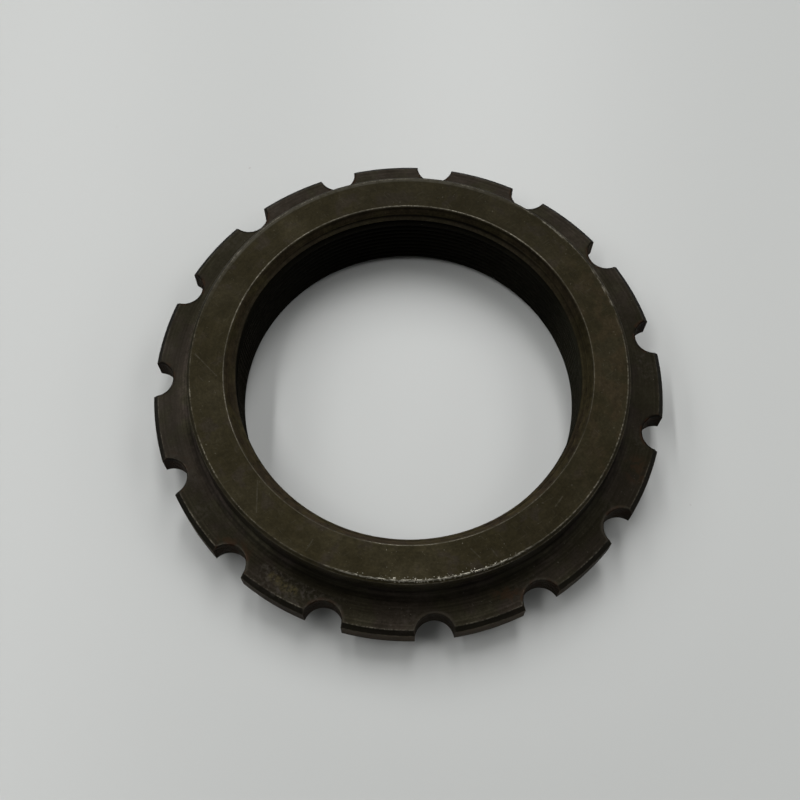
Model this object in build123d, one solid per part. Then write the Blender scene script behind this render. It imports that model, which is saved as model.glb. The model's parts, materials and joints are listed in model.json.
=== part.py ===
from build123d import *
from math import radians, tan
import os

# An adjusting ring nut, turned and milled from one piece of steel. Sizes are in millimetres.
# It lies on its hub. The origin is on the nut's axis at that seat, and +Z points up out of the
# boss. A tooth of the flange is centred on +X.

# Bore, left at the tapping size of its thread, whose profile is finer than this model. The
# lead-in's angle is measured from the axis.
thread_diameter = 95.0
thread_pitch = 2.0
lead_in_over_thread = 3.8
lead_in_angle = 30.0
bore_lower_chamfer = 2.4

# Boss above the flange, with a hollow neck where it meets the flange
boss_wall = 11.8
boss_height = 10.5
boss_edge_chamfer = 0.8
boss_neck_radius = 4.0

# Hub below the flange, which carries the nut's seat and meets the flange in a plain turned corner
hub_wall = 11.8
hub_height = 7.2
hub_edge_chamfer = 0.8

# Toothed flange, which reaches out past the boss
flange_reach = 10.7
flange_thickness = 8.3
flange_upper_chamfer = 1.3
flange_lower_chamfer = 0.5

# Notches in the rim, for a hook spanner or a lock tab
notch_count = 15
notch_width = 10.2
notch_depth = 5.2
notch_edge_break = 0.3

# An internal metric thread is bored smaller than its nominal size by this share of the pitch.
bore_per_pitch = 1.0825
cutter_run_out = 1.0

# Walls are measured from the thread's nominal size, so that they stay solid when it changes.
thread_radius = thread_diameter / 2
bore_radius = thread_radius - bore_per_pitch * thread_pitch / 2
lead_in_radius = thread_radius + lead_in_over_thread / 2
lead_in_depth = (lead_in_radius - bore_radius) / tan(radians(lead_in_angle))
boss_radius = thread_radius + boss_wall
hub_radius = thread_radius + hub_wall
flange_radius = boss_radius + flange_reach
notch_radius = notch_width / 2
notch_centre_radius = flange_radius - notch_depth + notch_radius

flange_underside = hub_height
flange_top = flange_underside + flange_thickness
top_face = flange_top + boss_height


def half_section():
    """The ring's section on one side of its axis: x is the radius and y the height."""
    outline = Polyline(
        (bore_radius, 0),
        (hub_radius, 0),
        (hub_radius, flange_underside),
        (flange_radius, flange_underside),
        (flange_radius, flange_top),
        (boss_radius, flange_top),
        (boss_radius, top_face),
        (lead_in_radius, top_face),
        (bore_radius, top_face - lead_in_depth),
        close=True,
    )
    section = make_face(outline)

    def corner(radius, height):
        return section.vertices().sort_by_distance((radius, height))[0]

    section = chamfer(corner(bore_radius, 0), bore_lower_chamfer)
    section = chamfer(corner(hub_radius, 0), hub_edge_chamfer)
    section = chamfer(corner(flange_radius, flange_underside), flange_lower_chamfer)
    section = chamfer(corner(flange_radius, flange_top), flange_upper_chamfer)
    section = fillet(corner(boss_radius, flange_top), boss_neck_radius)
    section = chamfer(corner(boss_radius, top_face), boss_edge_chamfer)
    return section


def turned_blank():
    """The ring as it leaves the lathe, before the notches are cut."""
    return revolve(Plane.XZ * half_section(), axis=Axis.Z)


def notch_cutter():
    """A round cutter as long as the flange is thick, flared at both ends to break the notch's edges."""
    flared_radius = notch_radius + notch_edge_break
    outline = Polyline(
        (0, flange_underside - cutter_run_out),
        (flared_radius, flange_underside - cutter_run_out),
        (flared_radius, flange_underside),
        (notch_radius, flange_underside + notch_edge_break),
        (notch_radius, flange_top - notch_edge_break),
        (flared_radius, flange_top),
        (flared_radius, flange_top + cutter_run_out),
        (0, flange_top + cutter_run_out),
        close=True,
    )
    return revolve(Plane.XZ * make_face(outline), axis=Axis.Z)


def ring_nut():
    """The blank with its notches cut, half a pitch away from +X on each side."""
    half_pitch = 180 / notch_count
    notches = PolarLocations(notch_centre_radius, notch_count, start_angle=half_pitch)
    nut = turned_blank() - [place * notch_cutter() for place in notches]
    return nut.solid()


os.makedirs("parts", exist_ok=True)
export_step(ring_nut(), "parts/ring_nut.step")
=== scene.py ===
import json
from dataclasses import dataclass
from math import acos, cos, pi, radians, sin, tan

import bpy
import numpy as np
from mathutils import Matrix, Vector


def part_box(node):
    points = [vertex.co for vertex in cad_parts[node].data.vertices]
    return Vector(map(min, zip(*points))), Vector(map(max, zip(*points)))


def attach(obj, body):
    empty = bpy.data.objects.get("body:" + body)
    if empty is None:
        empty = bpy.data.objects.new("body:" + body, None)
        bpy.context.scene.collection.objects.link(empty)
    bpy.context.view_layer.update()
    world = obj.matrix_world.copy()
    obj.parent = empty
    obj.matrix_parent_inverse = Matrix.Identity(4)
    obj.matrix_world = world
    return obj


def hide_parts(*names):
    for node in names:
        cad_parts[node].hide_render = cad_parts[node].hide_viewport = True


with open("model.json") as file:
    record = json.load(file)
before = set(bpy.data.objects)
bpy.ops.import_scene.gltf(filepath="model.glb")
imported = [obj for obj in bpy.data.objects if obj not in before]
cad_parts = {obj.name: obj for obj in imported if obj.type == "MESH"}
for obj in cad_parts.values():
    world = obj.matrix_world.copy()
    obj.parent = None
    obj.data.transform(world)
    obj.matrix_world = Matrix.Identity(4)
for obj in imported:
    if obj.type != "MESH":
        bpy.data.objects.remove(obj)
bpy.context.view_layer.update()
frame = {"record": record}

# The looks of an adjusting ring nut: dark, oil-blackened steel, lying on its hub on a pale table.
# Lengths are in metres, in the frame's axes. The nut's axis is Z, and a tooth is centred on +X.
mm = 0.001
record = frame["record"]
mounts = {mount["name"]: mount for mount in record["mounts"]}
low_corner, high_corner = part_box("ring_nut")

# Sizes that the frame gives
flange_radius = high_corner.x
top_face = high_corner.z
seat = low_corner.z
bore_radius = mounts["thread"]["dims"]["r_mm"] * mm
flange_underside = mounts["flange_underside"]["pos_m"][2]
notch_count = len(record["physics"]["openings"])

# Sizes of the turned form, as in the solid. The lead-in's angle is measured from the axis.
boss_radius = 59.3 * mm
boss_chamfer = 0.8 * mm
hub_chamfer = 0.8 * mm
neck_radius = 4.0 * mm
flange_top = 15.5 * mm
rim_top_chamfer = 1.3 * mm
rim_low_chamfer = 0.5 * mm
notch_radius = 5.1 * mm
notch_root_radius = 64.8 * mm
notch_edge_break = 0.3 * mm
lead_in_radius = 49.4 * mm
lead_in_slope = tan(radians(30))
bore_lower_chamfer = 2.4 * mm

# Thread: an internal metric profile, with its root cut a little past the nominal depth
thread_pitch = 2.0 * mm
depth_share = 0.54127
root_clearance = 0.15 * mm
thread_depth = depth_share * thread_pitch + root_clearance
root_radius = bore_radius + thread_depth
crest_flat = thread_pitch / 4
root_flat = thread_pitch / 8
crest_ease = 0.07 * mm
thread_start = 1.87 * mm

# Above the thread's first full turn, its groove fades out in the lead-in cone.
groove_depth = 0.24 * mm
groove_end = top_face - 2.32 * mm
groove_fade = 0.3 * mm
mouth_height = top_face - 2.1 * mm

# Single marks that stand out, each given by its two ends, and by its strength where they differ
scratch_strokes = [
    ((-57.3 * mm, 2.8 * mm), (-50.9 * mm, -3.7 * mm)),
    ((-25.4 * mm, -51.1 * mm), (-23.7 * mm, -48.2 * mm)),
    ((-38.5 * mm, -32.7 * mm), (-38.3 * mm, -41.3 * mm)),
    ((15.9 * mm, -50.1 * mm), (18.3 * mm, -52.4 * mm)),
    ((21.1 * mm, -50.1 * mm), (22.6 * mm, -52.1 * mm)),
    ((37.5 * mm, -39.0 * mm), (39.5 * mm, -36.2 * mm)),
]
rust_strokes = [
    ((24.5 * mm, -58.0 * mm), (27.5 * mm, -61.0 * mm), 0.5),
    ((-48.0 * mm, -46.5 * mm), (-42.5 * mm, -49.5 * mm), 0.5),
    ((-63.5 * mm, -24.5 * mm), (-60.5 * mm, -26.0 * mm), 0.5),
    ((60.5 * mm, -23.0 * mm), (61.5 * mm, -27.0 * mm), 0.4),
]
stain_strokes = [
    ((-34.7 * mm, -55.1 * mm), (-32.8 * mm, -56.5 * mm)),
    ((-31.4 * mm, -57.9 * mm), (-28.9 * mm, -58.8 * mm)),
]

# Sectors of painted light and shade, where the steel is painted lighter or darker, the neck has a painted
# highlight, or an edge's worn line, partly a painted highlight, is weaker. Each has the polar angle of its
# middle, the degrees to either side up to which it is full and where it has faded out, and its factor.
boss_sectors = [
    (-95, 15, 45, 1.20),
    (-48, 12, 35, 0.84),
    (85, 20, 60, 0.72),
    (6, 14, 34, 0.92),
    (120, 6, 16, 1.30),
    (155, 5, 14, 0.86),
]
cone_sectors = [
    (-92, 42, 62, 1.30),
    (162, 12, 24, 0.88),
]
flange_sectors = [
    (-15, 22, 48, 0.50),
    (-138, 22, 40, 0.64),
    (160, 14, 30, 0.72),
    (88, 15, 35, 1.08),
    (-33, 10, 22, 0.80),
    (24, 6, 14, 0.85),
    (106, 12, 22, 0.88),
]
# Painted highlights in the neck
neck_highlight_sectors = [
    (168, 16, 30, 1.55),
    (36, 8, 16, 1.35),
]
mouth_wear_and_highlight_sectors = [
    (-128, 18, 32, 0.40),
    (-40, 18, 32, 0.40),
    (8, 24, 38, 0.32),
    (179, 6, 14, 0.55),
]
edge_wear_and_highlight_sectors = [
    (168, 10, 22, 0.45),
    (142, 6, 14, 0.70),
    (10, 7, 16, 0.65),
    (-120, 18, 30, 0.55),
]

# Columns of the mesh over each notch and between two notches, which lie closer together at the corners
notch_columns = 21
tooth_columns = 13
notch_shares = np.concatenate(([-1, -0.96], np.linspace(-0.89, 0.89, notch_columns), [0.96, 1]))
tooth_shares = np.concatenate(([0.02], np.linspace(0.075, 0.925, tooth_columns), [0.98]))


@dataclass
class Row:
    """One ring of mesh points, and how the steel is there. The recess may differ from column to column."""
    points: np.ndarray
    ease: float = 0.0
    wear: float = 0.0
    recess: float | np.ndarray = 0.0
    bore: float = 0.0
    notched: bool = False


def sector_angles():
    """The polar angle of each notch's centre, half a pitch from a tooth's, and the pitch itself."""
    pitch = 2 * pi / notch_count
    return [pitch * (k + 0.5) for k in range(notch_count)], pitch


def outline(rim, notch):
    """The toothed outline at one level: each column's polar angle and radius."""
    centres, pitch = sector_angles()
    centre_radius = notch_root_radius + notch_radius
    corner = acos((centre_radius**2 + notch**2 - rim**2) / (2 * centre_radius * notch))
    turn = notch_shares * corner
    across = notch * np.sin(turn)
    inward = centre_radius - notch * np.cos(turn)
    arc_angles = np.arctan2(across, inward)
    arc_radii = np.hypot(across, inward)
    half_gap = arc_angles[-1]
    tooth_angles = half_gap + tooth_shares * (pitch - 2 * half_gap)
    tooth_radii = np.full(len(tooth_shares), rim)
    angles = [centre + np.concatenate((arc_angles, tooth_angles)) for centre in centres]
    radii = [np.concatenate((arc_radii, tooth_radii)) for centre in centres]
    return np.concatenate(angles), np.concatenate(radii)


column_angles, _ = outline(flange_radius, notch_radius)
column_count = len(column_angles)
sector_columns = len(notch_shares) + len(tooth_shares)
place_in_sector = np.arange(column_count) % sector_columns
in_notch = place_in_sector < len(notch_shares)
at_corner = (place_in_sector == 0) | (place_in_sector == len(notch_shares) - 1)


def ring(angles, radii, height):
    """Points at given angles and radii. Radius and height may be one number or one for each column."""
    heights = np.broadcast_to(height, angles.shape)
    return np.stack((radii * np.cos(angles), radii * np.sin(angles), heights), 1)


def turned(radius, height, **edge):
    """A row of the turned form."""
    radii = np.broadcast_to(radius, column_angles.shape)
    return Row(ring(column_angles, radii, height), **edge)


def toothed(rim, notch, height, **edge):
    """A row of the flange's edge, with the notches in it."""
    angles, radii = outline(rim, notch)
    return Row(ring(angles, radii, height), notched=True, **edge)


def section():
    """The rows of the nut's section, from the bore's lower edge outward and round to its mouth."""
    edge_ease = 0.12 * mm
    chamfer_line = flange_top - rim_top_chamfer
    low_edge = flange_underside + notch_edge_break
    low_line = flange_underside + rim_low_chamfer
    break_line = flange_top - notch_edge_break
    broken = notch_radius + notch_edge_break
    rows = [
        turned(bore_radius + bore_lower_chamfer, seat, ease=edge_ease, wear=0.5),
        turned(boss_radius - hub_chamfer, seat, ease=edge_ease, wear=0.6),
        turned(boss_radius, seat + hub_chamfer, ease=edge_ease, wear=0.6),
        turned(boss_radius, flange_underside, ease=2 * edge_ease, recess=1),
        toothed(flange_radius - rim_low_chamfer, broken, flange_underside, ease=edge_ease, wear=0.5),
        toothed(flange_radius - rim_low_chamfer + notch_edge_break, notch_radius, low_edge),
        toothed(flange_radius, notch_radius, low_line, ease=edge_ease, wear=0.7),
        toothed(flange_radius, notch_radius, chamfer_line, ease=edge_ease, wear=0.6),
        toothed(flange_radius - rim_top_chamfer + notch_edge_break, notch_radius, break_line),
        toothed(flange_radius - rim_top_chamfer, broken, flange_top, ease=edge_ease, wear=0.9),
    ]
    neck_steps = 9
    neck_centre = (boss_radius + neck_radius, flange_top + neck_radius)
    for step in range(neck_steps + 1):
        turn = step / neck_steps
        angle = pi / 2 * (1 + turn)
        radius = neck_centre[0] + neck_radius * cos(angle)
        height = neck_centre[1] - neck_radius * sin(angle)
        rows.append(turned(radius, height, recess=sin(pi * turn)))
    rows += [
        turned(boss_radius, top_face - boss_chamfer, ease=edge_ease, wear=0.8),
        turned(boss_radius - boss_chamfer, top_face, ease=edge_ease, wear=1.0),
        turned(lead_in_radius, top_face, ease=edge_ease, wear=1.0),
    ]
    return rows


def unit(vectors):
    """The same directions at length 1. Where there is no length, there is no direction either."""
    tiny = 1e-9
    lengths = np.linalg.norm(vectors, axis=1, keepdims=True)
    return vectors / np.maximum(lengths, tiny)


def eased(rows):
    """Rounds each edge over three rows, and lets its wear fade out on both sides."""
    fade = 0.15 * mm
    start_limit = 0.3
    end_limit = 0.45
    roundness = 0.25
    made = [rows[0]]
    for before, row, after in zip(rows, rows[1:], rows[2:]):
        if not row.ease:
            made.append(row)
            continue
        gaps = [np.linalg.norm(row.points - other.points, axis=1).min() for other in (before, after)]
        back = unit(before.points - row.points)
        ahead = unit(after.points - row.points)
        sides = []
        for direction, gap in zip((back, ahead), gaps):
            start = min(row.ease, gap * start_limit)
            end = min(row.ease + fade, gap * end_limit)
            sides.append((row.points + direction * end, row.points + direction * start))
        middle = row.points + (back + ahead) * row.ease * roundness
        faded = dict(recess=row.recess / 2, notched=row.notched)
        worn = dict(wear=row.wear, recess=row.recess, notched=row.notched)
        (back_end, back_start), (ahead_end, ahead_start) = sides
        made += [
            Row(back_end, **faded),
            Row(back_start, **worn),
            Row(middle, **worn),
            Row(ahead_start, **worn),
            Row(ahead_end, **faded),
        ]
    made.append(rows[-1])
    return made


def filled(rows):
    """Adds rows between those that lie far apart, so that no face is wide."""
    widest = 2.2 * mm
    made = [rows[0]]
    for last, row in zip(rows, rows[1:]):
        gap = np.linalg.norm(row.points - last.points, axis=1).max()
        parts = int(gap // widest) + 1
        for part in range(1, parts):
            share = part / parts
            points = last.points * (1 - share) + row.points * share
            made.append(Row(points, recess=last.recess * (1 - share) + row.recess * share,
                            notched=last.notched and row.notched))
        made.append(row)
    return made


def thread_profile():
    """Height over the crest's middle and radius of each row of one turn."""
    flank = (thread_pitch - crest_flat - root_flat) / 2
    ease_height = crest_ease * flank / thread_depth
    half_crest = crest_flat / 2
    return [
        (-half_crest - ease_height, bore_radius + crest_ease),
        (-half_crest, bore_radius),
        (half_crest, bore_radius),
        (half_crest + ease_height, bore_radius + crest_ease),
        (half_crest + flank, root_radius),
        (half_crest + flank + root_flat, root_radius),
    ]


class MeshParts:
    """Collects points, faces and edge values while the nut's mesh is put together."""
    notch_wear_share = 0.4
    corner_wear = 0.35

    def __init__(self):
        self.points = []
        self.faces = []
        self.wear = []
        self.recess = []
        self.notch = []
        self.bore = []

    def add_row(self, row):
        """Adds one row and returns its point numbers."""
        first = len(self.points)
        notch_wall = in_notch & row.notched
        edge_wear = np.where(notch_wall, self.notch_wear_share * row.wear, row.wear)
        self.points.extend(row.points.tolist())
        self.wear.extend(np.where(at_corner & row.notched, self.corner_wear, edge_wear).tolist())
        self.recess.extend(np.broadcast_to(row.recess, column_count).tolist())
        self.bore.extend([row.bore] * column_count)
        self.notch.extend(notch_wall.astype(float).tolist())
        return np.arange(first, first + column_count)

    def add_face(self, corners):
        """Adds a face from its corners, leaving out those that fell together."""
        face = [c for i, c in enumerate(corners) if c != corners[i - 1]]
        if len(face) > 2:
            self.faces.append(face)

    def bridge(self, lower, upper):
        """Joins two rows all the way round."""
        for here in range(column_count):
            there = (here + 1) % column_count
            self.add_face([int(lower[here]), int(lower[there]), int(upper[there]), int(upper[here])])


def add_thread(parts, foot_row, mouth_row, foot_height):
    """The helical thread between two rows that close it below and above."""
    profile = thread_profile()
    per_turn = len(profile)
    spare_turns = 2
    crest_wear = 0.12
    foot = parts.add_row(foot_row)
    mouth = parts.add_row(mouth_row)
    last_turn = int((mouth_height - foot_height) / thread_pitch) + spare_turns
    numbers = []
    for turn in range(-spare_turns, last_turn + 1):
        for rise, radius in profile:
            heights = thread_start + rise + thread_pitch * (turn + column_angles / (2 * pi))
            lead_in = lead_in_radius - (top_face - heights) * lead_in_slope
            run_out = bore_radius + bore_lower_chamfer - (heights - seat)
            recess = 0.0
            if radius == root_radius:
                recess = np.clip((groove_end - heights) / groove_fade, 0, 1)
                lead_in += groove_depth * recess
            radii = np.maximum(radius, np.maximum(lead_in, run_out))
            wear = crest_wear if radius <= bore_radius + crest_ease else 0.0
            row = parts.add_row(Row(ring(column_angles, radii, heights), wear=wear, recess=recess, bore=1))
            row = np.where(heights <= foot_height, foot, row)
            numbers.append(np.where(heights >= mouth_height, mouth, row))
    for level in range(len(numbers) - 1):
        for here in range(column_count):
            there = (here + 1) % column_count
            lift = per_turn if there == 0 else 0
            if level + 1 + lift >= len(numbers):
                continue
            corners = [numbers[level][here], numbers[level + 1][here],
                       numbers[level + 1 + lift][there], numbers[level + lift][there]]
            parts.add_face([int(c) for c in corners])
    return foot, mouth


def nut_mesh():
    """The whole nut as one closed mesh."""
    parts = MeshParts()
    past_thread = 0.05 * mm
    foot_height = seat + bore_radius + bore_lower_chamfer - root_radius - past_thread
    foot_radius = root_radius + past_thread
    mouth_radius = lead_in_radius - (top_face - mouth_height) * lead_in_slope
    foot_row = turned(foot_radius, foot_height, bore=1)
    mouth_row = turned(mouth_radius, mouth_height, bore=1)
    foot, mouth = add_thread(parts, foot_row, mouth_row, foot_height)
    rows = filled(eased([foot_row] + section() + [mouth_row]))
    numbers = [foot] + [parts.add_row(row) for row in rows[1:-1]] + [mouth]
    for lower, upper in zip(numbers, numbers[1:]):
        parts.bridge(lower, upper)
    return parts


def make_nut():
    """The nut as an object, without the points that no face uses."""
    sharpest_smooth = radians(35)
    parts = nut_mesh()
    mesh = bpy.data.meshes.new("ring_nut_steel")
    used = sorted({corner for face in parts.faces for corner in face})
    renumbered = {old: new for new, old in enumerate(used)}
    faces = [[renumbered[corner] for corner in face] for face in parts.faces]
    mesh.from_pydata([parts.points[i] for i in used], [], faces)
    for name in ("wear", "recess", "notch", "bore"):
        values = getattr(parts, name)
        layer = mesh.attributes.new(name, "FLOAT", "POINT")
        layer.data.foreach_set("value", [values[i] for i in used])
    mesh.validate()
    mesh.polygons.foreach_set("use_smooth", [True] * len(mesh.polygons))
    mesh.set_sharp_from_angle(angle=sharpest_smooth)
    nut = bpy.data.objects.new("ring_nut_steel", mesh)
    bpy.context.scene.collection.objects.link(nut)
    return nut


class Nodes:
    """Short calls for the nodes of one material."""

    def __init__(self, name):
        self.material = bpy.data.materials.new(name)
        self.material.use_nodes = True
        self.tree = self.material.node_tree
        self.tree.nodes.clear()

    def add(self, kind, **settings):
        """A new node, with its own settings."""
        node = self.tree.nodes.new(kind)
        for name, value in settings.items():
            setattr(node, name, value)
        return node

    def feed(self, socket, value):
        """Links a socket to another node's output, or gives it a plain value."""
        if isinstance(value, bpy.types.NodeSocket):
            self.tree.links.new(value, socket)
        else:
            socket.default_value = value

    def math(self, operation, *values, clamp=False):
        """The result of one sum on numbers."""
        node = self.add("ShaderNodeMath", operation=operation, use_clamp=clamp)
        for socket, value in zip(node.inputs, values):
            self.feed(socket, value)
        return node.outputs[0]

    def times(self, *values):
        """The product of all the values."""
        product = values[0]
        for value in values[1:]:
            product = self.math("MULTIPLY", product, value)
        return product

    def most(self, *values):
        """The largest of all the values."""
        largest = values[0]
        for value in values[1:]:
            largest = self.math("MAXIMUM", largest, value)
        return largest

    def rest(self, share):
        """What is left of 1."""
        return self.math("SUBTRACT", 1.0, share)

    def blend(self, share, first, second):
        """A number between two others."""
        node = self.add("ShaderNodeMix", data_type="FLOAT")
        for socket, value in zip((node.inputs[0], node.inputs[2], node.inputs[3]), (share, first, second)):
            self.feed(socket, value)
        return node.outputs[0]

    def step(self, value, low, high, to_low=0.0, to_high=1.0):
        """A smooth step from one value to another between two limits."""
        node = self.add("ShaderNodeMapRange", interpolation_type="SMOOTHSTEP")
        for socket, given in zip(node.inputs, (value, low, high, to_low, to_high)):
            self.feed(socket, given)
        return node.outputs[0]

    def factor(self, mask, value, elsewhere=1.0):
        """One factor where the mask is 1, and another where it is 0."""
        return self.step(mask, 0.0, 1.0, elsewhere, value)

    def varied(self, noise, least, most):
        """A factor that follows a noise, whose values lie mostly between 0.3 and 0.7."""
        return self.step(noise, 0.3, 0.7, least, most)

    def noise(self, vector, size, detail=2.0, roughness=0.5):
        """Chance values from 0 to 1 with features of about one size, in metres."""
        node = self.add("ShaderNodeTexNoise")
        self.feed(node.inputs["Vector"], vector)
        self.feed(node.inputs["Scale"], 1 / size)
        self.feed(node.inputs["Detail"], detail)
        self.feed(node.inputs["Roughness"], roughness)
        return node.outputs["Fac"]

    def mix(self, share, first, second):
        """A colour between two others."""
        node = self.add("ShaderNodeMix", data_type="RGBA")
        colours = [socket for socket in node.inputs if socket.type == "RGBA"]
        self.feed(node.inputs[0], share)
        self.feed(colours[0], first)
        self.feed(colours[1], second)
        return next(socket for socket in node.outputs if socket.type == "RGBA")

    def attribute(self, name):
        """A value that the mesh carries."""
        return self.add("ShaderNodeAttribute", attribute_name=name).outputs["Fac"]

    def coat(self, colour, paint, *shares):
        """A colour with another laid over it, as far as the product of the shares says."""
        return self.mix(self.times(*shares), colour, paint)

    def shifted(self, vector, distance):
        """The same coordinates moved along, so that a second noise differs from the first."""
        node = self.add("ShaderNodeVectorMath", operation="ADD")
        self.feed(node.inputs[0], vector)
        node.inputs[1].default_value = (distance, distance, distance)
        return node.outputs[0]

    def scaled(self, colour, factor):
        """A colour made lighter or darker by a factor."""
        node = self.add("ShaderNodeVectorMath", operation="SCALE")
        self.feed(node.inputs[0], colour)
        self.feed(node.inputs["Scale"], factor)
        return node.outputs[0]

    def vector(self, *values):
        """Coordinates made of three numbers."""
        node = self.add("ShaderNodeCombineXYZ")
        for socket, value in zip(node.inputs, values):
            self.feed(socket, value)
        return node.outputs[0]

    def bump(self, height, depth, normal=None):
        """A normal that shows a height as relief, over another relief where one is given."""
        node = self.add("ShaderNodeBump")
        self.feed(node.inputs["Height"], height)
        self.feed(node.inputs["Distance"], depth)
        if normal is not None:
            self.feed(node.inputs["Normal"], normal)
        return node.outputs[0]

    def finish(self, **values):
        """The shader itself, with what feeds its sockets."""
        shader = self.add("ShaderNodeBsdfPrincipled")
        output = self.add("ShaderNodeOutputMaterial")
        for name, value in values.items():
            self.feed(shader.inputs[name.replace("_", " ")], value)
        self.tree.links.new(shader.outputs[0], output.inputs[0])
        return self.material


class Steel(Nodes):
    """The nut's steel: the places that its marks keep to, and the layers of its colour."""

    def __init__(self):
        super().__init__("blackened_steel")
        self.place = self.add("ShaderNodeTexCoord").outputs["Object"]
        split = self.add("ShaderNodeSeparateXYZ")
        self.feed(split.inputs[0], self.place)
        self.x, self.y, self.z = split.outputs
        square = self.math("ADD", self.times(self.x, self.x), self.times(self.y, self.y))
        self.radius = self.math("SQRT", square)
        self.find_places()
        self.clouds = self.noise(self.place, 16 * mm, detail=4)
        self.blotches = self.noise(self.place, 5 * mm, detail=3)
        self.mottle = self.noise(self.place, 1.8 * mm, detail=5, roughness=0.7)
        self.grain = self.noise(self.place, 0.6 * mm, detail=3, roughness=0.6)
        drift = self.times(self.clouds, 1.5 * mm)
        self.marks = self.noise(self.vector(self.radius, self.z, drift), 0.6 * mm, detail=3, roughness=0.6)

    def find_places(self):
        """Masks that are 1 in one place each. The thread's first full turn parts the cone from the bore."""
        chamfer_line = flange_top - rim_top_chamfer
        cone_edge = lead_in_radius - 0.05 * mm
        foot_rise = 0.75 * mm
        foot_middle = top_face - 4.65 * mm
        foot_soft = 0.2 * mm
        side = self.math("DIVIDE", self.y, self.radius)
        cone_foot = self.math("ADD", self.times(side, foot_rise), foot_middle)
        above_foot = self.step(self.math("SUBTRACT", self.z, cone_foot), -foot_soft, foot_soft)
        self.notch = self.attribute("notch")
        self.recess = self.attribute("recess")
        self.deep = self.times(self.attribute("bore"), self.rest(above_foot))
        self.cone = self.times(self.step(self.radius, cone_edge, cone_edge - 0.15 * mm), above_foot)
        self.boss = self.step(self.z, flange_top + neck_radius, top_face - 2 * mm)
        self.below_boss = self.rest(self.boss)
        self.top = self.step(self.z, top_face - 0.7 * mm, top_face - 0.3 * mm)
        self.rim = self.times(self.step(self.radius, notch_root_radius, notch_root_radius + 1 * mm),
                              self.step(self.z, chamfer_line + 0.2 * mm, chamfer_line - 0.1 * mm))
        self.near_side = self.towards(-88, 20, 45)

    def along(self, angle):
        """How far a point lies from the axis in one direction, given as a polar angle in degrees."""
        turn = radians(angle)
        return self.math("ADD", self.times(self.x, cos(turn)), self.times(self.y, sin(turn)))

    def towards(self, angle, full, none):
        """1 within so many degrees of a polar angle, fading to 0 further round."""
        share = self.math("DIVIDE", self.along(angle), self.radius)
        return self.step(share, cos(radians(none)), cos(radians(full)))

    def sector_factors(self, sectors):
        """The product of the factors of all the sectors."""
        return self.times(*[self.factor(self.towards(angle, full, none), value)
                            for angle, full, none, value in sectors])

    def band(self, value, low, high, soft):
        """1 between two limits, fading to 0 over a soft distance outside them."""
        return self.times(self.step(value, low - soft, low), self.step(value, high + soft, high))

    def stroke(self, start, end, width, soft):
        """1 along a straight stroke between two points, given as (x, y), fading to 0 beside it."""
        middle = [(a + b) / 2 for a, b in zip(start, end)]
        span = [b - a for a, b in zip(start, end)]
        length = (span[0] ** 2 + span[1] ** 2) ** 0.5
        off_x = self.math("SUBTRACT", self.x, middle[0])
        off_y = self.math("SUBTRACT", self.y, middle[1])
        masks = []
        for lead, side, half in ((span[0], span[1], length / 2), (-span[1], span[0], width / 2)):
            reach = self.math("ADD", self.times(off_x, lead / length), self.times(off_y, side / length))
            masks.append(self.step(self.math("ABSOLUTE", reach), half + soft, half))
        return self.times(*masks)

    def hatching(self, angle, length, width, limit):
        """Fine broken strokes that all run one way, given as a polar angle in degrees."""
        soft = 0.05
        ways = self.vector(self.math("DIVIDE", self.along(angle), length),
                           self.math("DIVIDE", self.along(angle + 90), width), 0.0)
        return self.step(self.noise(ways, 1.0, detail=1), limit, limit + soft)

    def oxide(self):
        """The oxide itself: olive on the boss, olive to plum below it and in the cone, brown on the right, a
        painted reflection of the table on the rim, and painted light and shade on each side.
        """
        olive = (0.0160, 0.0133, 0.0066, 1)
        olive_pale = (0.0222, 0.0188, 0.0104, 1)
        flange_olive = (0.0168, 0.0152, 0.0101, 1)
        flange_plum = (0.0184, 0.0148, 0.0124, 1)
        rim_brown_sheen = (0.0400, 0.0320, 0.0225, 1)
        cone_olive = (0.0330, 0.0275, 0.0140, 1)
        cone_plum = (0.0290, 0.0225, 0.0135, 1)
        brown = (0.0225, 0.0165, 0.0088, 1)
        hue_shift = 3.7
        hue = self.step(self.noise(self.shifted(self.place, hue_shift), 8 * mm, detail=3), 0.42, 0.58)
        plum_patch = self.step(self.blotches, 0.52, 0.62)
        brown_patch = self.step(self.blotches, 0.45, 0.56)
        right_side = self.step(self.x, 40 * mm, 54 * mm)

        colour = self.mix(self.step(self.clouds, 0.38, 0.62), olive, olive_pale)
        colour = self.coat(colour, flange_plum, hue, plum_patch, 0.6)
        colour = self.mix(self.boss, self.mix(hue, flange_olive, flange_plum), colour)
        colour = self.coat(colour, brown, right_side, brown_patch, self.boss, 0.8)
        colour = self.mix(self.cone, colour, self.mix(hue, cone_olive, cone_plum))
        # Painted reflection of the table on the rim's cylinder, partly wear.
        colour = self.coat(colour, rim_brown_sheen, self.rim)
        shade = self.times(self.varied(self.mottle, 0.66, 1.34), self.varied(self.grain, 0.82, 1.18),
                           self.varied(self.blotches, 0.84, 1.16))
        # The colour is scaled by the painted light and shade of each side.
        return self.scaled(colour, self.times(shade, self.streaks(), self.painted_side_shade()))

    def streaks(self):
        """Turning marks: faint on the top face and in the cone, and strongest on the neck's near side."""
        neck = self.times(self.recess, self.towards(-85, 30, 50), self.rest(self.cone))
        on_top = self.varied(self.marks, 0.90, 1.10)
        on_cone = self.varied(self.marks, 0.84, 1.16)
        in_neck = self.step(self.marks, 0.34, 0.66, 0.40, 1.60)
        streaks = self.blend(self.top, self.varied(self.marks, 0.62, 1.38), on_top)
        return self.blend(self.cone, self.blend(neck, streaks, in_neck), on_cone)

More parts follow.
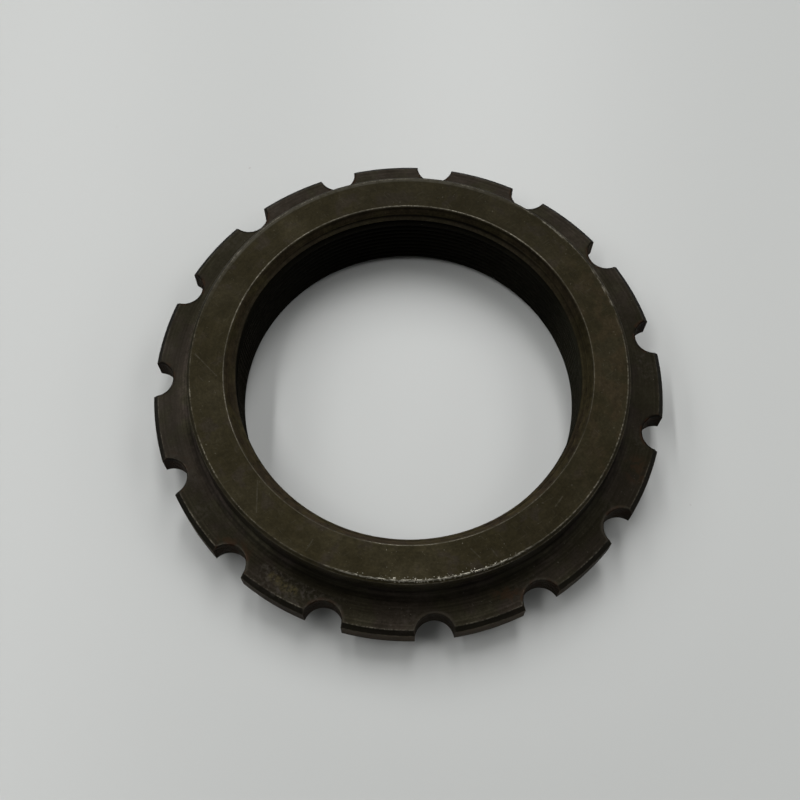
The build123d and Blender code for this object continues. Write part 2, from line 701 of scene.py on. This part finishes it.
    def painted_side_shade(self):
        """Painted light and shade on each side: the boss, lead-in and flange painted lighter or darker by
        sector, the boss paler where it is nearest, the flange darker on the right, painted light on the
        near-left wall and in the neck, and painted shade on the near flange outside the neck.
        """
        boss_level = 1.01
        flange_level = 1.05
        boss_shade = self.times(boss_level, self.sector_factors(boss_sectors))
        cone_shade = self.times(self.factor(self.towards(70, 34, 98), 0.97, elsewhere=1.7),
                                self.sector_factors(cone_sectors))
        # Painted light on the boss's wall and the neck towards the near left.
        painted_lit_wall = self.times(self.step(self.radius, boss_radius + 1.5 * mm, boss_radius + 0.5 * mm),
                          self.towards(-150, 65, 105))
        # Painted shade on the flange just outside the neck on the near side, fading outward.
        outward = self.step(self.radius, boss_radius + 5.5 * mm, boss_radius + 8 * mm, 0.45, 0.0)
        # Painted light in the neck away from the near side, and painted highlights in the neck's sectors.
        painted_neck_light = self.times(self.recess, self.rest(self.near_side), 1.1)
        neck_highlights = [self.factor(self.times(self.recess, self.towards(angle, full, none)), value)
                       for angle, full, none, value in neck_highlight_sectors]
        flange_shade = self.times(
            flange_level,
            self.sector_factors(flange_sectors),
            self.factor(painted_lit_wall, 1.6),
            *neck_highlights,
            self.rest(self.times(self.near_side, outward)),
            self.math("ADD", 1.0, painted_neck_light),
        )
        return self.blend(self.cone, self.blend(self.boss, flange_shade, boss_shade), cone_shade)

    def dirtied(self, colour):
        """Darker neck, cone, notches and rim chamfer, mostly painted shade with some dirt, painted light on
        the near notch walls, rust over it, and a bore painted dark for its shade.
        """
        grime_and_shade = (0.0022, 0.0020, 0.0015, 1)
        bore_shade_black = (0.0021, 0.0021, 0.0016, 1)
        oiled_lit_black = (0.0084, 0.0084, 0.0058, 1)
        notch_lit_grey = (0.0290, 0.0255, 0.0200, 1)
        rust = (0.0240, 0.0110, 0.0060, 1)

        neck_end = boss_radius + neck_radius
        neck_line = self.band(self.radius, neck_end - 0.05 * mm, neck_end + 0.3 * mm, 0.25 * mm)
        broken = self.step(self.blotches, 0.35, 0.55, 0.3, 1.0)
        # Painted shade, partly dirt, in the neck's crease on the near side, and a dark line at the neck's
        # outer end there.
        colour = self.coat(colour, grime_and_shade, self.recess, self.near_side, 0.35)
        colour = self.coat(colour, grime_and_shade, neck_line, self.towards(-80, 42, 62), broken, self.below_boss, 0.65)

        # Painted shade in the cone: in the thread's groove, strongest on the far side, under the mouth's edge
        # on the far side, and low in the cone on the left.
        groove_shade = self.factor(self.towards(92, 10, 62), 0.95, elsewhere=0.25)
        under_mouth = self.band(self.z, top_face - 0.8 * mm, top_face - 0.6 * mm, 0.3 * mm)
        low_cone = self.step(self.z, top_face - 2.2 * mm, top_face - 3.2 * mm)
        colour = self.coat(colour, grime_and_shade, self.cone, self.recess, groove_shade)
        colour = self.coat(colour, grime_and_shade, self.cone, under_mouth, self.towards(80, 30, 80), 0.6)
        colour = self.coat(colour, grime_and_shade, self.cone, low_cone, self.towards(174, 14, 32), 0.2)

        chamfer_start = flange_radius - rim_top_chamfer
        chamfer_line = flange_top - rim_top_chamfer
        rim_chamfer = self.times(self.step(self.radius, chamfer_start + 0.05 * mm, chamfer_start + 0.3 * mm),
                                 self.step(self.z, chamfer_line - 0.1 * mm, chamfer_line + 0.2 * mm))
        near_notches = self.towards(-88, 50, 78)
        rusted = self.step(self.noise(self.place, 2.5 * mm, detail=3), 0.46, 0.58)
        notch_rust = self.factor(self.towards(-88, 10, 22), 0.15, elsewhere=0.6)
        # Painted shade on the rim's top chamfer, where it reflects the dark room.
        colour = self.coat(colour, grime_and_shade, rim_chamfer, 0.75)
        colour = self.coat(colour, grime_and_shade, self.notch, 0.45)
        # Painted light on the notch walls on the near side.
        colour = self.coat(colour, notch_lit_grey, self.notch, near_notches, 0.85)
        colour = self.coat(colour, rust, self.notch, rusted, notch_rust)
        for start, end, share in rust_strokes:
            stroke = self.stroke(start, end, width=2.5 * mm, soft=3 * mm)
            colour = self.coat(colour, rust, stroke, rusted, self.below_boss, share)
        # The bore below the cone painted dark for the shade in it, and less dark on the right side as painted
        # light.
        return self.mix(self.deep, colour, self.mix(self.towards(-9, 15, 42), bore_shade_black, oiled_lit_black))

    def scuffed(self, colour):
        """Dry fuzz and a stain on the flange, a pale line on the boss's far edge, partly chalk and partly a
        painted sheen, and fine scratches on top.
        """
        chalk_and_sheen = (0.0480, 0.0450, 0.0360, 1)
        dry_plum = (0.0410, 0.0360, 0.0315, 1)
        stain = (0.0520, 0.0430, 0.0190, 1)
        scratched = (0.0440, 0.0400, 0.0290, 1)

        flat = self.band(self.radius, boss_radius + neck_radius, flange_radius - rim_top_chamfer, 1 * mm)
        fuzz = self.step(self.noise(self.place, 1.3 * mm, detail=4, roughness=0.65), 0.42, 0.74)
        zone_shift = 1.3
        zones = self.step(self.noise(self.shifted(self.place, zone_shift), 9 * mm, detail=2), 0.50, 0.60)
        colour = self.coat(colour, dry_plum, flat, fuzz, zones, 0.4)
        colour = self.coat(colour, dry_plum, flat, fuzz, self.towards(-118, 6, 9), 0.8)
        colour = self.coat(colour, dry_plum, flat, self.towards(-172, 12, 24), 0.15)
        patches = self.step(self.noise(self.place, 1.2 * mm, detail=4, roughness=0.7), 0.36, 0.62)
        for start, end in stain_strokes:
            stroke = self.stroke(start, end, width=0.3 * mm, soft=1.6 * mm)
            colour = self.coat(colour, stain, stroke, patches, self.below_boss, 0.8)

        edge = self.times(self.band(self.radius, boss_radius - 1.5 * mm, boss_radius + 0.1 * mm, 0.4 * mm),
                          self.step(self.z, top_face - 2.2 * mm, top_face - 1.2 * mm))
        chalky_sheen = self.step(self.mottle, 0.35, 0.6, 0.3, 0.9)
        # A pale line on the boss's chamfer at the far left, partly chalk and partly a painted sheen where the
        # chamfer faces the lights.
        colour = self.coat(colour, chalk_and_sheen, edge, self.towards(112, 30, 58), chalky_sheen)

        lines = self.most(self.hatching(-48, length=3.5 * mm, width=0.16 * mm, limit=0.69),
                          self.hatching(35, length=5 * mm, width=0.18 * mm, limit=0.70))
        colour = self.coat(colour, scratched, lines, self.top, 0.7)
        faint = self.step(self.grain, 0.4, 0.6, 0.3, 0.8)
        for start, end in scratch_strokes:
            stroke = self.stroke(start, end, width=0.15 * mm, soft=0.15 * mm)
            colour = self.coat(colour, scratched, stroke, self.boss, faint)
        return colour

    def worn_and_highlight_share(self):
        """How far each edge is worn bare, partly a painted highlight: a thin line that comes and goes, with
        its strength painted differently from side to side.
        """
        boss_edge_level = 0.8
        mouth = self.step(self.radius, lead_in_radius + 1 * mm, lead_in_radius + 0.5 * mm)
        outer = self.step(self.radius, boss_radius + 1 * mm, boss_radius + 2 * mm)
        ragged = self.step(self.noise(self.place, 0.7 * mm, detail=3, roughness=0.7), 0.40, 0.62,
                           self.blend(mouth, 0.12, 0.45), 1.0)
        patchy = self.step(self.noise(self.place, 6 * mm, detail=3), 0.38, 0.60,
                           self.blend(mouth, 0.25, 0.6), 1.0)
        mouth_wear_and_highlight = self.sector_factors(mouth_wear_and_highlight_sectors)
        edge_wear = self.times(boss_edge_level, self.sector_factors(edge_wear_and_highlight_sectors))
        rim_wear_and_highlight = self.factor(self.towards(-108, 38, 75), 0.72, elsewhere=0.28)
        side = self.blend(mouth, self.blend(outer, edge_wear, rim_wear_and_highlight), mouth_wear_and_highlight)
        return self.math("MULTIPLY", self.times(self.attribute("wear"), ragged, patchy), side, clamp=True)

    def bared_share(self):
        """Bright nicks: a beaded line and specks on the boss's near edge, and flecks further round."""
        bead_length = 1.3 * mm
        bead_width = 0.4 * mm
        edge_line = boss_radius - boss_chamfer
        near = self.towards(-83, 9, 29)
        stretched = self.vector(self.times(self.x, 1 / bead_length),
                                self.times(self.radius, 1 / bead_width), 0.0)
        beads = self.step(self.noise(stretched, 1.0, detail=2), 0.44, 0.58)
        line = self.band(self.radius, edge_line - 0.22 * mm, edge_line + 0.12 * mm, 0.13 * mm)
        beaded_line = self.times(line, self.top, near, beads, 0.85)

        chip_limit = 0.73
        chip_limit_drop = 0.14
        closeness = self.step(self.radius, boss_radius - 2.8 * mm, edge_line)
        limit = self.math("SUBTRACT", chip_limit, self.times(closeness, near, self.top, chip_limit_drop))
        chips = self.noise(self.place, 0.45 * mm, detail=2)
        chips = self.step(self.math("SUBTRACT", chips, limit), 0.0, 0.05)
        facing_up = self.step(self.z, flange_top - 0.5 * mm, flange_top)
        strength = self.blend(self.top, self.blend(near, 0.14, 0.18), self.blend(near, 0.25, 0.9))
        specks = self.times(chips, facing_up, strength)

        edge = self.times(self.boss,
                          self.band(self.radius, boss_radius - 1.2 * mm, boss_radius - 0.3 * mm, 0.2 * mm))
        flecks = self.times(edge, self.towards(36, 14, 26), beads, self.step(self.blotches, 0.42, 0.55), 0.25)
        rub = self.times(edge, self.towards(146, 1, 3), self.step(self.mottle, 0.4, 0.6), 0.10)
        return self.most(beaded_line, specks, flecks, rub)


def blackened_steel():
    """Oxide-blackened steel with turning marks, worn edges that carry a painted highlight, rust, dirt and
    painted shade in its hollows, and painted light and shade on its sides.
    """
    rubbed_and_highlight = (0.200, 0.184, 0.144, 1)
    bared = (0.42, 0.40, 0.33, 1)
    grazing_tint = (0.32, 0.27, 0.15, 1)
    steel = Steel()
    rub = steel.times(steel.worn_and_highlight_share(), steel.rest(steel.times(steel.deep, 0.9)))
    bare = steel.bared_share()
    bright = steel.most(rub, bare)
    colour = steel.scuffed(steel.dirtied(steel.oxide()))
    # Worn bare edges, partly a painted highlight along them.
    colour = steel.coat(colour, rubbed_and_highlight, rub, 0.9)
    colour = steel.coat(colour, bared, bare)

    metal_shares = ((steel.deep, 0.86), (steel.cone, 0.8), (steel.notch, 0.8), (steel.rim, 0.7))
    metal = steel.math("ADD", 0.5, steel.times(bright, 0.5))
    metal = steel.most(metal, *[steel.times(place, share) for place, share in metal_shares])
    rough = steel.math("SUBTRACT", steel.varied(steel.mottle, 0.50, 0.62), steel.times(bright, 0.15))
    normal = steel.bump(steel.marks, 0.035 * mm)
    normal = steel.bump(steel.mottle, 0.07 * mm, normal)
    normal = steel.bump(bare, -0.06 * mm, normal)
    return steel.finish(Base_Color=colour, Metallic=metal, Roughness=rough, Normal=normal,
                        Specular_Tint=grazing_tint)


def table_top():
    """A plain pale table with a faint gloss and a few specks of dust."""
    base = (0.573, 0.585, 0.571, 1)
    speck = (0.45, 0.44, 0.43, 1)
    nodes = Nodes("table_top")
    place = nodes.add("ShaderNodeTexCoord").outputs["Object"]
    dust = nodes.step(nodes.noise(place, 4 * mm, detail=1), 0.80, 0.84)
    return nodes.finish(Base_Color=nodes.mix(dust, base, speck), Roughness=0.35)


def make_table():
    """A round table top that fills the photograph's view. Seen from low down, its edge is the horizon."""
    reach = 1.2
    corner_count = 96
    turns = [2 * pi * k / corner_count for k in range(corner_count)]
    corners = [(reach * cos(turn), reach * sin(turn), seat) for turn in turns]
    mesh = bpy.data.meshes.new("table")
    mesh.from_pydata(corners, [], [range(corner_count)])
    mesh.materials.append(table_top())
    table = bpy.data.objects.new("table", mesh)
    bpy.context.scene.collection.objects.link(table)


def strip_light(name, across, width, near, far, power):
    """A row of ceiling lights along Y that faces down. All but its power are shares of the height."""
    height = 2.0
    lamp = bpy.data.lights.new(name, "AREA")
    lamp.shape = "RECTANGLE"
    lamp.size = width * height
    lamp.size_y = (far - near) * height
    lamp.energy = power
    light = bpy.data.objects.new(name, lamp)
    light.location = (across * height, (near + far) / 2 * height, height)
    bpy.context.scene.collection.objects.link(light)


def room_light():
    """Faint light from the room itself, palest near the horizon. The camera sees one even grey."""
    horizon_strength = 0.60
    overhead_strength = 0.05
    fade_end = 0.5
    seen_strength = 0.55
    fading = {"From Min": 0.0, "From Max": fade_end, "To Min": horizon_strength, "To Max": overhead_strength}
    world = bpy.data.worlds.new("studio")
    world.use_nodes = True
    tree = world.node_tree
    background = tree.nodes["Background"]
    background.inputs["Color"].default_value = (1.0, 1.0, 1.0, 1)
    split = tree.nodes.new("ShaderNodeSeparateXYZ")
    strength = tree.nodes.new("ShaderNodeMapRange")
    strength.interpolation_type = "SMOOTHSTEP"
    for name, value in fading.items():
        strength.inputs[name].default_value = value
    tree.links.new(tree.nodes.new("ShaderNodeTexCoord").outputs["Generated"], split.inputs[0])
    tree.links.new(split.outputs["Z"], strength.inputs["Value"])
    seen = tree.nodes.new("ShaderNodeMix")
    seen.data_type = "FLOAT"
    tree.links.new(tree.nodes.new("ShaderNodeLightPath").outputs["Is Camera Ray"], seen.inputs[0])
    tree.links.new(strength.outputs["Result"], seen.inputs[2])
    seen.inputs[3].default_value = seen_strength
    tree.links.new(seen.outputs[0], background.inputs["Strength"])
    bpy.context.scene.world = world


def light_the_scene():
    """The lights, placed to match the shadows in the photograph."""
    strip_light("row_far_left", across=-0.94, width=0.45, near=-0.39, far=1.22, power=25.7)
    strip_light("row_left", across=-0.41, width=0.07, near=-0.41, far=1.17, power=21.6)
    strip_light("row_middle", across=0.08, width=0.22, near=0.17, far=1.15, power=17.7)
    strip_light("row_right", across=0.80, width=0.52, near=-0.22, far=0.86, power=17.1)
    strip_light("row_far_right", across=1.55, width=0.59, near=-0.80, far=0.77, power=14.9)
    room_light()


def make_camera():
    """The camera that took the photograph, found from the ring's circles in it."""
    lens = 53.397
    distance = 0.3406
    elevation = radians(67.5942)
    azimuth_offset = radians(-0.42)
    pan, tilt, roll = radians(0.3920), radians(-0.1162), radians(0.9481)

    place = Vector((0, -distance * cos(elevation), distance * sin(elevation)))
    ahead = -place.normalized()
    right = Vector((1, 0, 0))
    down = -right.cross(ahead)
    view = Matrix((right, down, ahead))
    view = Matrix.Rotation(pan, 3, "Y") @ view
    view = Matrix.Rotation(tilt, 3, "X") @ view
    view = Matrix.Rotation(roll, 3, "Z") @ view
    axes = Matrix((view[0], -view[1], -view[2])).transposed()

    data = bpy.data.cameras.new("camera")
    data.lens = lens
    data.clip_start = 0.01
    camera = bpy.data.objects.new("camera", data)
    spin = Matrix.Rotation(azimuth_offset, 4, "Z")
    camera.matrix_world = spin @ Matrix.Translation(place) @ axes.to_4x4()
    bpy.context.scene.collection.objects.link(camera)
    bpy.context.scene.camera = camera


make_camera()
nut = make_nut()
nut.data.materials.append(blackened_steel())
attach(nut, "root")
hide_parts("ring_nut")
make_table()
light_the_scene()
bpy.context.scene.view_settings.view_transform = "Standard"
